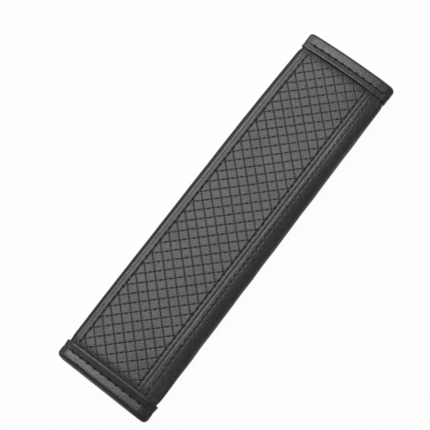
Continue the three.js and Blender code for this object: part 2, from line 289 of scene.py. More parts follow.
# Sizes that follow from the frame
PAD_LENGTH = (cad_box[1].y - cad_box[0].y) / MM
FRONT_LEVEL = span("quilted_front_panel", 2)[1]
BACK_LEVEL = span("fold_and_back_panel", 2)[0]
MIDDLE_LEVEL = (FRONT_LEVEL + BACK_LEVEL) / 2
FOLD_RADIUS = (FRONT_LEVEL - BACK_LEVEL) / 2
EDGE_RADIUS = LEAF_THICKNESS / 2
CHANNEL_HEIGHT = 2 * (FOLD_RADIUS - LEAF_THICKNESS)
FOLD_CENTRE_X = span("fold_and_back_panel", 0)[1] - FOLD_RADIUS
EDGE_CENTRE_X = span("free_edge_panel", 0)[0] + EDGE_RADIUS
FLAT_LENGTH = FOLD_CENTRE_X - EDGE_CENTRE_X
FOLD_LENGTH = math.pi * FOLD_RADIUS
EDGE_LENGTH = math.pi * EDGE_RADIUS
COVER_LENGTH = 2 * FLAT_LENGTH + FOLD_LENGTH
LEFT_SEAM = span("quilted_front_panel", 0)[0] - SEAM_GAP / 2 - EDGE_CENTRE_X
RIGHT_SEAM = span("quilted_front_panel", 0)[1] + SEAM_GAP / 2 - EDGE_CENTRE_X
QUILT_CENTRE = (LEFT_SEAM + RIGHT_SEAM) / 2
BORDER_REACH = (RIGHT_SEAM - LEFT_SEAM) / 2 - PANEL_MARGIN
LIP_Y = span("top_end_binding", 1)[0]
BINDING_WIDTH = PAD_LENGTH / 2 - LIP_Y
LEAF_END_Y = PAD_LENGTH / 2 - BINDING_END_THICKNESS - LAYER_GAP
OUTER_PRESS = BINDING_THICKNESS + LAYER_GAP - BINDING_RISE
INNER_PRESS = INNER_BINDING_THICKNESS + LAYER_GAP - INNER_BINDING_RISE
LEFT_BORDER = {"row": QUILT_CENTRE - BORDER_REACH, "pitch": 4.6, "phase": 0.2}
RIGHT_BORDER = {"row": QUILT_CENTRE + BORDER_REACH, "pitch": 4.36, "phase": -1.15}
TOPSTITCH = {"row": RIGHT_SEAM + TOPSTITCH_INSET, "pitch": 4.46, "phase": 3.1}
TAPE_SEAMS = [
    {"row": COVER_LENGTH - TAPE_INSET - inset, "pitch": TAPE_SEAM_PITCH, "phase": 0.0}
    for inset in (TAPE_SEAM_INSET, TAPE_WIDTH - TAPE_SEAM_INSET)
]


def add_camera():
    data = bpy.data.cameras.new("camera")
    data.lens = CAMERA_LENS
    data.sensor_width = CAMERA_SENSOR
    data.clip_start = 0.01
    data.clip_end = 20
    camera = bpy.data.objects.new("camera", data)
    place = Vector(CAMERA_PLACE) * MM
    ahead = Vector(CAMERA_TARGET) * MM - place
    turn = ahead.to_track_quat("-Z", "Y").to_matrix()
    roll = Matrix.Rotation(math.radians(CAMERA_ROLL), 3, "Z")
    camera.matrix_world = Matrix.Translation(place) @ (turn @ roll).to_4x4()
    bpy.context.scene.collection.objects.link(camera)
    bpy.context.scene.camera = camera


# The section of the pad

def section_point(along, depth):
    """x and z of a place along the cover's outside, from the front leaf's free edge, at a depth below it."""
    along, depth = np.broadcast_arrays(np.asarray(along, float), np.asarray(depth, float))
    on_back = along > COVER_LENGTH / 2
    place = np.where(on_back, COVER_LENGTH - along, along)
    fold_turn = (place - FLAT_LENGTH) / FOLD_RADIUS
    fold_x = FOLD_CENTRE_X + (FOLD_RADIUS - depth) * np.sin(fold_turn)
    fold_z = MIDDLE_LEVEL + (FOLD_RADIUS - depth) * np.cos(fold_turn)
    edge_turn = np.clip(-place / EDGE_RADIUS, 0, math.pi)
    edge_x = EDGE_CENTRE_X - (EDGE_RADIUS - depth) * np.sin(edge_turn)
    edge_z = FRONT_LEVEL - EDGE_RADIUS + (EDGE_RADIUS - depth) * np.cos(edge_turn)
    turned_in = place < -EDGE_LENGTH
    edge_x = np.where(turned_in, EDGE_CENTRE_X - place - EDGE_LENGTH, edge_x)
    flat = (place >= 0) & (place <= FLAT_LENGTH)
    x = np.where(flat, EDGE_CENTRE_X + place, np.where(place > FLAT_LENGTH, fold_x, edge_x))
    z = np.where(flat, FRONT_LEVEL - depth, np.where(place > FLAT_LENGTH, fold_z, edge_z))
    return x, np.where(on_back, 2 * MIDDLE_LEVEL - z, z)


def on_section(along, y, depth):
    """Points of the pad at places along the section and along Y, at depths below the cover's outside."""
    along, y, depth = np.broadcast_arrays(along, y, depth)
    x, z = section_point(along, depth)
    return np.stack([x, y, z], axis=-1)


def turned_in(along):
    """How far round a free edge a place is: 0 on the outside, 1 where the cover is turned in."""
    nearer = np.minimum(along, COVER_LENGTH - along)
    return np.clip(-nearer / EDGE_LENGTH, 0, 1)


def smooth_step(value):
    value = np.clip(value, 0, 1)
    return value * value * (3 - 2 * value)


def press_at(y):
    """How much a leaf is pressed in along Y: not at all in the middle, fully under the bindings."""
    return np.clip(1 - (LIP_Y - DIP_LEAD - np.abs(y)) / DIP_LENGTH, 0, 1) ** 2


def pressed(relief, y, drop):
    """The depth of a leaf's outside where it is pressed in by a drop and its relief is partly flattened."""
    press = press_at(y)
    return relief * (1 - (1 - RELIEF_KEPT) * press) + drop * press


def lip_shadow_line(y):
    """A painted shadow line where a leaf goes in under the lip of a binding."""
    return CONTACT_SHADE * bump(np.abs(y) - LIP_Y + LIP_FOOT, CONTACT_WIDTH)


def cover_press(along):
    share = turned_in(along)
    return OUTER_PRESS * (1 - share) + INNER_PRESS * share


def bump(distance, half_width):
    return np.exp(-(distance / half_width) ** 2)


# Unevenness of a hand-sewn thing

def ripple(x, y, size, seed):
    """Smooth unevenness between about -1 and 1, in patches of a size."""
    rng = np.random.default_rng(seed)
    total = np.zeros(np.broadcast(x, y).shape)
    waves = 7
    for _ in range(waves):
        angle, phase = rng.uniform(0, 2 * math.pi, 2)
        stretch = rng.uniform(0.7, 1.5)
        run = np.cos(angle) * x + np.sin(angle) * y
        total = total + np.sin(2 * math.pi * run / (size * stretch) + phase)
    return total / math.sqrt(waves)


def hashed(*values, seed=0):
    """A number from 0 to 1 that looks random and depends on the values alone."""
    total = np.full(np.broadcast(*values).shape, 12.9898 + seed)
    for index, value in enumerate(values):
        total = total + np.asarray(value, float) * (78.233 + 37.719 * index)
    return np.modf(np.abs(np.sin(total) * 43758.5453))[0]


# Meshes

def grid_quads(rows, columns, closed=False):
    first = np.arange(rows * columns).reshape(rows, columns)
    right = np.roll(first, -1, axis=1) if closed else first[:, 1:]
    left = first if closed else first[:, :-1]
    quads = np.stack([left[:-1], right[:-1], right[1:], left[1:]], axis=-1)
    return quads.reshape(-1, 4)


def zipped(upper, upper_places, lower, lower_places):
    """Triangles between two rows of vertices that run side by side."""
    faces = []
    i, j = 0, 0
    while i + 1 < len(upper) or j + 1 < len(lower):
        take_upper = j + 1 == len(lower)
        if not take_upper and i + 1 < len(upper):
            take_upper = upper_places[i + 1] <= lower_places[j + 1]
        if take_upper:
            faces.append((upper[i], upper[i + 1], lower[j]))
            i += 1
        else:
            faces.append((lower[j], upper[i], lower[j + 1]))
            j += 1
    return faces


def make_piece(name, points, faces, material, sharp_degrees=50):
    """A mesh piece with faces that point out. points are in millimetres."""
    mesh = bpy.data.meshes.new(name)
    mesh.from_pydata((np.asarray(points) * MM).tolist(), [], [list(map(int, f)) for f in faces])
    mesh.update()
    piece = bpy.data.objects.new(name, mesh)
    bpy.context.scene.collection.objects.link(piece)
    mesh.materials.append(material)
    turn_faces_out(mesh)
    mesh.shade_smooth()
    mesh.set_sharp_from_angle(angle=math.radians(sharp_degrees))
    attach(piece, "root")
    return piece


def turn_faces_out(mesh):
    """Flips the faces where the signed volume says that they point in."""
    mesh.calc_loop_triangles()
    corners = np.zeros(len(mesh.loop_triangles) * 3, np.int32)
    mesh.loop_triangles.foreach_get("vertices", corners)
    places = np.zeros(len(mesh.vertices) * 3)
    mesh.vertices.foreach_get("co", places)
    a, b, c = places.reshape(-1, 3)[corners.reshape(-1, 3)].transpose(1, 0, 2)
    if np.einsum("ij,ij->i", a, np.cross(b, c)).sum() < 0:
        mesh.flip_normals()


def shell(name, outer, inner, material, shade=None):
    """A closed sheet between two grids of points, which may be drawn more or less finely."""
    rows, columns = outer.shape[:2]
    inner_rows, inner_columns = inner.shape[:2]
    first = np.arange(rows * columns).reshape(rows, columns)
    second = np.arange(inner_rows * inner_columns).reshape(inner_rows, inner_columns) + rows * columns
    faces = [tuple(f) for f in grid_quads(rows, columns)]
    faces += [tuple(f[::-1]) for f in grid_quads(inner_rows, inner_columns) + rows * columns]
    sides = [
        (first[0], outer[0], second[0], inner[0], True),
        (first[-1], outer[-1], second[-1], inner[-1], False),
        (first[:, 0], outer[:, 0], second[:, 0], inner[:, 0], False),
        (first[:, -1], outer[:, -1], second[:, -1], inner[:, -1], True),
    ]
    for upper, upper_points, lower, lower_points, turned in sides:
        side = zipped(upper, run_share(upper_points), lower, run_share(lower_points))
        faces += [f[::-1] for f in side] if turned else side
    points = settle(np.concatenate([outer.reshape(-1, 3), inner.reshape(-1, 3)]))
    piece = make_piece(name, points, faces, material)
    if shade is not None:
        values = np.concatenate([shade.ravel(), np.zeros(inner_rows * inner_columns)])
        set_shade(piece, values)
    return piece


def run_share(points):
    """Each point's share of the way along a row of points."""
    steps = np.linalg.norm(np.diff(points, axis=0), axis=1)
    run = np.concatenate([[0], np.cumsum(steps)])
    return run / run[-1]


def set_shade(piece, values):
    """Stores each vertex's painted shade, in creases, seams, needle holes and under the lips, which darkens
    the leather's colour.
    """
    attribute = piece.data.attributes.new("painted_shade", "FLOAT", "POINT")
    attribute.data.foreach_set("value", np.clip(values, 0, 1).astype(np.float32))


def set_place(piece, outer_places):
    """Stores where each vertex of the outer face is among the diamonds, for the painted shade at the
    stitches.
    """
    values = np.zeros((len(piece.data.vertices), 3), np.float32)
    places = outer_places.reshape(-1, 3)
    values[: len(places)] = places
    attribute = piece.data.attributes.new("place", "FLOAT_VECTOR", "POINT")
    attribute.data.foreach_set("vector", values.ravel())


def near_lip(y, reach):
    """0 up to a reach before the lip, then smoothly up to 1 at the lip and beyond."""
    return smooth_step((y - LIP_Y + reach) / reach)


def by_end(pair, y):
    return np.where(y > 0, pair[1], pair[0])


def fold_taper(x, y):
    """How much flatter the pad is towards its fold than a section with a round fold would be."""
    start = EDGE_CENTRE_X + RIGHT_SEAM + TAPER_LEAD
    reach = FOLD_CENTRE_X + FOLD_RADIUS - start
    place = np.clip((x - start) / reach, 0, 0.99)
    round_place = np.clip((start + place * reach - FOLD_CENTRE_X) / FOLD_RADIUS, 0, 0.999)
    power = TAPER_POWER + TOP_TAPER * near_lip(y, LIP_Y - TOP_TAPER_START)
    power = power + END_TAPER * near_lip(np.abs(y), END_EASE)
    return np.sqrt(1 - place ** power) / np.sqrt(1 - round_place ** 2)


def edge_taper(x, y):
    """How much thinner a leaf is at its free edge than a half round: its top slopes before it turns down."""
    place = np.clip((EDGE_CENTRE_X + BEVEL_LEAD - x) / (EDGE_RADIUS + BEVEL_LEAD), 0, 0.99)
    round_place = np.clip((EDGE_CENTRE_X - x) / EDGE_RADIUS, 0, 0.99)
    slope = BEVEL_SLOPE * (1 - TOP_BEVEL_LOSS * near_lip(y, END_EASE)) * place ** 2 / (place + 0.08)
    return (1 - slope) * np.sqrt(1 - place ** 6) / np.sqrt(1 - round_place ** 2)


def end_shift(x, y):
    """How far the lips and ends of the bindings lie from where straight ones would, along Y."""
    lip = by_end(LIP_OFFSET, y) + by_end(LIP_TILT, y) * x
    end = by_end(END_OFFSET, y) + by_end(END_TILT, y) * x
    over = np.clip((np.abs(y) - LIP_Y) / BINDING_WIDTH, 0, 1)
    return near_lip(np.abs(y), LIP_EASE) * (lip * (1 - over) + end * over)


def settle(points):
    """Every piece goes through this, so that they stay fitted: a slightly uneven, slightly skewed pad."""
    x, y, z = points[:, 0], points[:, 1], points[:, 2]
    leaf_middle = MIDDLE_LEVEL + np.sign(z - MIDDLE_LEVEL) * (FRONT_LEVEL - EDGE_RADIUS - MIDDLE_LEVEL)
    z = leaf_middle + (z - leaf_middle) * np.where(x < QUILT_CENTRE + EDGE_CENTRE_X, edge_taper(x, y), 1)
    z = MIDDLE_LEVEL + (z - MIDDLE_LEVEL) * fold_taper(x, y)
    height = np.clip((z - MIDDLE_LEVEL) / FOLD_RADIUS, 0, 1)
    crown = np.clip((x - CROWN_X) / CROWN_REACH, -1, 1.2) ** 2 * near_lip(np.abs(y), CROWN_LENGTH)
    sink = np.clip((np.abs(y) - LIP_Y + SINK_LENGTH) / SINK_LENGTH, 0, 1) ** 2
    rise = UNEVENNESS * ripple(x, y, UNEVENNESS_SIZE, SEED) - END_CROWN * crown - END_SINK * sink
    left = smooth_step((EDGE_CENTRE_X + LEFT_SEAM + 1 - x) / LEFT_EASE)
    right = smooth_step((x - EDGE_CENTRE_X - RIGHT_SEAM) / RIGHT_EASE)
    at_end = near_lip(np.abs(y), END_EASE)
    left_lean = LEFT_WIDENING - by_end(LEFT_END_WIDENING, y) * at_end
    left_lean = left_lean + TOP_DRAW * near_lip(y, LIP_Y - TOP_DRAW_START)
    right_lean = RIGHT_WIDENING + by_end(RIGHT_END_WIDENING, y) * at_end
    lean = PANEL_SHIFT + left * (left_lean - SKEW * y) + right * (right_lean - SKEW * y)
    return np.stack([x + lean, y + end_shift(x, y), z + rise * height], axis=-1)


# Thread

def stitches(starts, ends, normals, radius, dive, lift, sides=6):
    """Stitches as short arched threads that dive into the leather at both ends."""
    shares = np.array([0, 0.1, 0.3, 0.7, 0.9, 1.0])
    heights = np.array([-dive, 0.25 * lift, lift, lift, 0.25 * lift, -dive])
    widths = np.array([0.8, 1, 1, 1, 1, 0.8])
    path = starts[:, None] + (ends - starts)[:, None] * shares[None, :, None]
    path = path + normals[:, None] * heights[None, :, None]
    run = ends - starts
    run = run / np.linalg.norm(run, axis=1, keepdims=True)
    across = np.cross(run, normals)
    angles = np.arange(sides) * 2 * math.pi / sides
    ring = (across[:, None] * np.cos(angles)[None, :, None]
            + normals[:, None] * np.sin(angles)[None, :, None])
    tubes = path[:, :, None] + radius * widths[None, :, None, None] * ring[:, None]
    count, length = len(starts), len(shares)
    step = length * sides
    one = grid_quads(length, sides, closed=True)
    caps = [tuple(range(sides))[::-1], tuple(range((length - 1) * sides, length * sides))]
    faces = (one[None] + (np.arange(count) * step)[:, None, None]).reshape(-1, 4).tolist()
    for index in range(count):
        faces += [[v + index * step for v in cap] for cap in caps]
    return tubes.reshape(-1, 3), faces


def thread_piece(name, batches, material):
    """One piece for several rows of stitches."""
    points, faces, offset = [], [], 0
    for batch_points, batch_faces in batches:
        points.append(batch_points)
        faces += [[v + offset for v in f] for f in batch_faces]
        offset += len(batch_points)
    piece = make_piece(name, settle(np.concatenate(points)), faces, material)
    return piece


# Materials

class Graph:
    """The nodes of a material or a world, with short ways to add and join them."""

    def __init__(self, owner):
        owner.use_nodes = True
        self.nodes = owner.node_tree.nodes
        self.links = owner.node_tree.links

    def put(self, socket, value):
        """Joins an input to another node's output, or gives it a plain value."""
        if isinstance(value, bpy.types.NodeSocket):
            self.links.new(value, socket)
        else:
            socket.default_value = value

    def add(self, kind, **inputs):
        made = self.nodes.new("ShaderNode" + kind)
        for key, value in inputs.items():
            self.put(made.inputs[key], value)
        return made

    def math(self, operation, *values):
        made = self.add("Math")
        made.operation = operation
        for socket, value in zip(made.inputs, values):
            self.put(socket, value)
        return made.outputs[0]

    def attribute(self, name, output):
        made = self.add("Attribute")
        made.attribute_name = name
        return made.outputs[output]

    def relief(self, height, strength, depth):
        return self.add("Bump", Height=height, Strength=strength, Distance=depth * MM).outputs["Normal"]

    def ramp(self, value, low, high):
        made = self.add("ValToRGB", Fac=value)
        for element, colour in zip(made.color_ramp.elements, (low, high)):
            element.color = colour
        return made.outputs["Color"]


def new_material(name):
    """A material, its nodes, the inputs of its shader and the place on the object."""
    material = bpy.data.materials.new(name)
    graph = Graph(material)
    place = graph.add("TexCoord").outputs["Object"]
    return material, graph, graph.nodes["Principled BSDF"].inputs, place


def grey(value):
    return (value, value, value * 1.01, 1)


def painted_stitch_shade(graph):
    """Painted shade at the quilting's needle holes and along its stitch lines, from each point's place among
    the diamonds.
    """
    parts = graph.add("SeparateXYZ", Vector=graph.attribute("place", "Vector"))
    across, up, inside = (parts.outputs[axis] for axis in "XYZ")
    slants = [graph.math(operation, across, up) for operation in ("ADD", "SUBTRACT")]
    marks = []
    for line, run, per_side, half_length in zip(slants, slants[::-1], MARKS_PER_SIDE, MARK_HALF_LENGTH):
        count = graph.math("MULTIPLY_ADD", run, per_side, 0.5)
        off = centred(graph, line, LINE_GAP / MARK_HALF_WIDTH)
        to_mark = centred(graph, count, LINE_GAP / per_side / half_length)
        distance = graph.math("ADD", graph.math("POWER", off, 2.0), graph.math("POWER", to_mark, 2.0))
        mark = graph.math("MULTIPLY", falling(graph, distance, 0.5, 1.3), mark_force(graph, line, count))
        thread_line = graph.math("MULTIPLY", falling(graph, off, 0.2, 1.2), LINE_SHADE)
        marks.append(graph.math("MAXIMUM", mark, thread_line))
    return graph.math("MULTIPLY", graph.math("MAXIMUM", *marks), inside)


def centred(graph, value, scale):
    """The distance from the middle between whole numbers, times a scale."""
    share = graph.math("SUBTRACT", graph.math("FRACT", value), 0.5)
    return graph.math("MULTIPLY", graph.math("ABSOLUTE", share), scale)


def falling(graph, value, start, end):
    """1 up to start, smoothly down to 0 at end."""
    made = graph.add("MapRange")
    made.interpolation_type = "SMOOTHSTEP"
    for socket, number in zip(made.inputs, (value, start, end, 1.0, 0.0)):
        graph.put(socket, number)
    return made.outputs["Result"]


def mark_force(graph, line, count):
    """How strong a mark is: one value for each pair of whole numbers."""
    corner = graph.add("CombineXYZ", X=graph.math("FLOOR", line), Y=graph.math("FLOOR", count))
    noise = graph.add("TexWhiteNoise", Vector=corner.outputs["Vector"])
    return graph.math("MULTIPLY_ADD", noise.outputs["Value"], 1 - MARK_LIGHTEST, MARK_LIGHTEST)


def leather(name, level, roughness, pebble_size, grain_depth, dulling, marked=False):
    """Coated leather: pebble grain, a slightly uneven colour and sheen, and painted shade that darkens
    creases, seams, holes and the lines under the lips.
    """
    material, graph, surface, place = new_material(name)
    warp = graph.add("TexNoise", Vector=place, Scale=900.0, Detail=2.0)
    warped = graph.add("Mix")
    warped.data_type = "VECTOR"
    for key, value in {"Factor": WARP_SHARE, "A": place, "B": warp.outputs["Color"]}.items():
        graph.put(warped.inputs[key], value)
    pebbles = graph.add("TexVoronoi", Vector=warped.outputs["Result"], Scale=1 / (pebble_size * MM))
    pebbles.feature = "SMOOTH_F1"
    pebbles.inputs["Smoothness"].default_value = PEBBLE_SOFTNESS
    fine = graph.add("TexNoise", Vector=place, Scale=1 / (FINE_GRAIN_SIZE * MM), Detail=3.0, Roughness=0.65)
    fine = fine.outputs["Fac"]
    broad = graph.add("TexNoise", Vector=place, Scale=55.0, Detail=3.0).outputs["Fac"]
    pebble_height = graph.math("MULTIPLY", pebbles.outputs["Distance"], PEBBLE_HEIGHT)
    height = graph.math("MULTIPLY_ADD", fine, FINE_GRAIN_HEIGHT, pebble_height)
    graph.put(surface["Normal"], graph.relief(height, 1.0, grain_depth))

    # Painted shade darkens the colour and dulls the sheen
    painted_shade = graph.attribute("painted_shade", "Fac")
    if marked:
        painted_shade = graph.math("MAXIMUM", painted_shade, painted_stitch_shade(graph))
    tone = graph.math("MULTIPLY_ADD", fine, FLECK_CONTRAST, 1 - FLECK_CONTRAST / 2)
    patches = graph.math("MULTIPLY_ADD", broad, PATCH_CONTRAST, 1 - PATCH_CONTRAST / 2)
    open_share = graph.math("MULTIPLY_ADD", painted_shade, -PAINTED_SHADE_STRENGTH, 1.0)
    for factor in (patches, open_share, level):
        tone = graph.math("MULTIPLY", tone, factor)
    colour = graph.add("CombineColor", Red=tone, Green=tone, Blue=tone)
    graph.put(surface["Base Color"], colour.outputs["Color"])
    gloss = graph.math("MULTIPLY_ADD", broad, GLOSS_CONTRAST, roughness - GLOSS_CONTRAST / 2)
    graph.put(surface["Roughness"], graph.math("MULTIPLY_ADD", painted_shade, dulling, gloss))
    surface["Specular IOR Level"].default_value = 0.5
    return material


def woven(name, level, thread_size, depth, roughness=0.95, sheen=0.3):
    """Cloth with crossing threads, or pile where the threads are coarse."""
    material, graph, surface, place = new_material(name)
    heights = []
    for turn in (0.0, math.pi / 2):
        turned = graph.add("Mapping", Vector=place, Rotation=(0, 0, turn)).outputs["Vector"]
        wave = graph.add("TexWave", Vector=turned, Scale=1 / (thread_size * MM) / 3, Distortion=1.2)
        heights.append(wave.outputs["Fac"])
    fuzz = graph.add("TexNoise", Vector=place, Scale=1 / (0.4 * MM), Detail=4.0)
    total = graph.math("ADD", graph.math("MULTIPLY", *heights), fuzz.outputs["Fac"])
    graph.put(surface["Normal"], graph.relief(total, 1.0, depth))
    graph.put(surface["Base Color"], graph.ramp(total, grey(level * 0.6), grey(level * 1.5)))
    surface["Roughness"].default_value = roughness
    surface["Sheen Weight"].default_value = sheen
    return material


def thread_material(name, level):
    """Twisted thread: fine slanting ridges with a soft sheen."""
    material, graph, surface, place = new_material(name)
    wave = graph.add("TexWave", Vector=place, Scale=1200.0, Distortion=2.0)
    wave.bands_direction = "DIAGONAL"
    twist = wave.outputs["Fac"]
    graph.put(surface["Normal"], graph.relief(twist, 0.6, 0.06))
    graph.put(surface["Base Color"], graph.ramp(twist, grey(level * 0.7), grey(level * 1.3)))
    surface["Roughness"].default_value = 0.8
    surface["Specular IOR Level"].default_value = 0.3
    return material


def foam_material(name):
    """Open-cell foam: pale, matte and full of small pores."""
    material, graph, surface, place = new_material(name)
    pores = graph.add("TexVoronoi", Vector=place, Scale=1 / (0.5 * MM)).outputs["Distance"]
    graph.put(surface["Normal"], graph.relief(pores, 0.8, 0.15))
    low = (FOAM_GREY * 0.6, FOAM_GREY * 0.58, FOAM_GREY * 0.5, 1)
    high = (FOAM_GREY * 1.1, FOAM_GREY * 1.08, FOAM_GREY, 1)
    graph.put(surface["Base Color"], graph.ramp(pores, low, high))
    surface["Roughness"].default_value = 1.0
    return material


# The quilted panel

def quilt_distances(along, y):
    """Distances to the nearest stitch line of each slant."""
    across = (along - QUILT_CENTRE) / DIAMOND_WIDTH
    up = (y - DIAMOND_SHIFT) / DIAMOND_LENGTH
    lines = (across + up - 0.5, across - up - 0.5)
    return [np.abs(line - np.round(line)) * LINE_GAP for line in lines]


def quilt_grid():
    """Places across and along the panel whose rows and columns fall on the stitch lines."""
    step = DIAMOND_WIDTH / GRID_PER_DIAMOND
    reach = int(round(BORDER_REACH / step))
    field = QUILT_CENTRE + np.arange(-reach, reach + 1) * step
    field[0], field[-1] = QUILT_CENTRE - BORDER_REACH, QUILT_CENTRE + BORDER_REACH
    edge = np.array(EDGE_COLUMNS)
    left = LEFT_SEAM + SEWN_GAP / 2
    right = RIGHT_SEAM - SEWN_GAP / 2
    columns = np.concatenate([
        left + (field[0] - left) * edge,
        field,
        (right + (field[-1] - right) * edge)[::-1],
    ])
    row_step = DIAMOND_LENGTH / GRID_PER_DIAMOND
    last = LIP_Y + 0.4
    lowest = math.ceil((-last - DIAMOND_SHIFT) / row_step)
    highest = math.floor((last - DIAMOND_SHIFT) / row_step)
    rows = DIAMOND_SHIFT + np.arange(lowest, highest + 1) * row_step
    hidden = np.linspace(0, 1, 3)[:-1]
    rows = np.concatenate([
        -LEAF_END_Y + (rows[0] + LEAF_END_Y) * hidden,
        rows,
        (LEAF_END_Y + (rows[-1] - LEAF_END_Y) * hidden)[::-1],
    ])
    return columns, rows


def pillow_depth(along, y):
    """The pillows' crowns and the panel's sunken edges, without the stitch lines."""
    first, second = quilt_distances(along, y)
    to_border = np.abs(along - QUILT_CENTRE) - BORDER_REACH
    inside = to_border < 0
    rise = (1 - np.exp(-first / PILLOW_EDGE)) * (1 - np.exp(-second / PILLOW_EDGE))
    rise = rise * (1 - np.exp(-np.abs(to_border) / PILLOW_EDGE))
    margin = PILLOW_RISE * np.exp(-np.abs(to_border) / (PILLOW_EDGE / 2))
    to_seam = np.clip(PANEL_MARGIN - SEAM_GAP / 2 - to_border, 0, None)
    seam_depth = np.where(along < QUILT_CENTRE, LEFT_SEAM_DEPTH, RIGHT_SEAM_DEPTH)
    margin = margin + seam_depth * np.exp(-to_seam / SEAM_WIDTH)
    drop = np.where(along < QUILT_CENTRE, MARGIN_DROP[0], MARGIN_DROP[1])
    margin = margin + drop * np.clip(to_border / PANEL_MARGIN, 0, 1)
    return np.where(inside, PILLOW_RISE * (1 - rise), margin)


def swell(rest, held):
    """Lets a sheet that is held at its stitches swell over the foam. rest is rows x columns x 3."""
    rows, columns = held.shape
    mesh = bpy.data.meshes.new("swelling")
    mesh.from_pydata((rest * SWELL_SCALE).reshape(-1, 3).tolist(), [], grid_quads(rows, columns).tolist())
    piece = bpy.data.objects.new("swelling", mesh)
    bpy.context.scene.collection.objects.link(piece)
    group = piece.vertex_groups.new(name="held")
    group.add([int(i) for i in np.flatnonzero(held.ravel())], 1.0, "REPLACE")
    cloth = piece.modifiers.new("swell", "CLOTH")
    settings = cloth.settings
    settings.quality = 5
    settings.vertex_group_mass = "held"
    settings.tension_stiffness = 20
    settings.compression_stiffness = 20
    settings.shear_stiffness = 8
    settings.bending_stiffness = 0.6
    settings.use_pressure = True
    settings.uniform_pressure_force = SWELL_PRESSURE
    settings.shrink_min = -0.03
    settings.effector_weights.gravity = 0
    cloth.collision_settings.use_collision = False
    scene = bpy.context.scene
    for number in range(1, SWELL_FRAMES + 1):
        scene.frame_set(number)
    swollen = piece.evaluated_get(bpy.context.evaluated_depsgraph_get())
    places = np.zeros(rows * columns * 3)
    swollen.data.vertices.foreach_get("co", places)
    bpy.data.objects.remove(piece)
    bpy.data.meshes.remove(mesh)
    scene.frame_set(1)
    return places.reshape(rows, columns, 3) / SWELL_SCALE


def finer(grid):
    """Twice as many rows and columns, on a smooth curve through the old ones."""
    for axis in (0, 1):
        grid = np.moveaxis(grid, axis, 0)
        before = np.concatenate([grid[:1], grid[:-2]])
        after = np.concatenate([grid[2:], grid[-1:]])
        middle = (9 * (grid[:-1] + grid[1:]) - before - after) / 16
        made = np.empty((2 * len(grid) - 1, *grid.shape[1:]))
        made[0::2] = grid
        made[1::2] = middle
        grid = np.moveaxis(made, 0, axis)
    return grid


def quilt_surface():
    """The panel's face as a fine grid: places along the section, places along Y, depths and painted shade.
    """
    columns, rows = quilt_grid()
    along, y = np.meshgrid(columns, rows)
    depth = pillow_depth(along, y)
    beyond = np.abs(along - QUILT_CENTRE) > BORDER_REACH - 0.01
    on_line = np.minimum(*quilt_distances(along, y)) < 0.05
    held = on_line | beyond | (np.abs(y) > LIP_Y - DIP_LEAD)
    rest = np.stack([along, y, -depth], axis=-1)
    moved = swell(rest, held) - rest
    length = np.linalg.norm(moved, axis=-1, keepdims=True)
    moved = moved * np.minimum(1, SWELL_LIMIT / np.maximum(length, 1e-9))
    along, y, depth = along + moved[..., 0], y + moved[..., 1], depth - moved[..., 2]
    fine = finer(np.stack([along, y, depth], axis=-1))
    along, y, depth = fine[..., 0], fine[..., 1], fine[..., 2]
    return quilt_detail(along, y, depth)


def quilt_detail(along, y, depth):
    """Narrow stitch lines and the border rows, cut into the swollen face, and painted shade in the border
    rows and their needle holes.
    """
    to_border = np.abs(along - QUILT_CENTRE) - BORDER_REACH
    groove = bump(np.minimum(*quilt_distances(along, y)), GROOVE_WIDTH) * (to_border < 0.2)
    border = bump(to_border, BORDER_WIDTH)
    holes = np.maximum(*[
        hole_field(along, y, **row, half_along=HOLE_HALF_WIDTH, half_y=half_length)
        for row, half_length in zip((LEFT_BORDER, RIGHT_BORDER), HOLE_HALF_LENGTH)
    ])
    depth = depth + np.maximum(GROOVE_DEPTH * groove, BORDER_DEPTH * border) + HOLE_DEPTH * holes
    return along, y, depth, np.maximum(BORDER_SHADE * border, holes)


def quilted_panel(material):
    along, y, depth, painted_shade = quilt_surface()
    depth = pressed(depth, y, OUTER_PRESS)
    painted_shade = np.maximum(painted_shade, lip_shadow_line(y))
    outer = on_section(along, y, depth)
    inner_along = np.linspace(along[0, 0], along[0, -1], 9)
    inner_y = np.concatenate([
        [-LEAF_END_Y], np.linspace(-LIP_Y + DIP_LEAD, -LIP_Y + DIP_LENGTH, 5),
        np.linspace(LIP_Y - DIP_LENGTH, LIP_Y - DIP_LEAD, 5), [LEAF_END_Y],
    ])
    along_grid, y_grid = np.meshgrid(inner_along, inner_y)
    under = COVER_THICKNESS + press_at(y_grid) * OUTER_PRESS
    inner = on_section(along_grid, y_grid, under)
    piece = shell("quilted_panel", outer, inner, material, painted_shade)
    inside = np.abs(along - QUILT_CENTRE) < BORDER_REACH + 0.1
    place = [(along - QUILT_CENTRE) / DIAMOND_WIDTH, (y - DIAMOND_SHIFT) / DIAMOND_LENGTH, inside]
    set_place(piece, np.stack(place, axis=-1))
    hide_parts("quilted_front_panel")


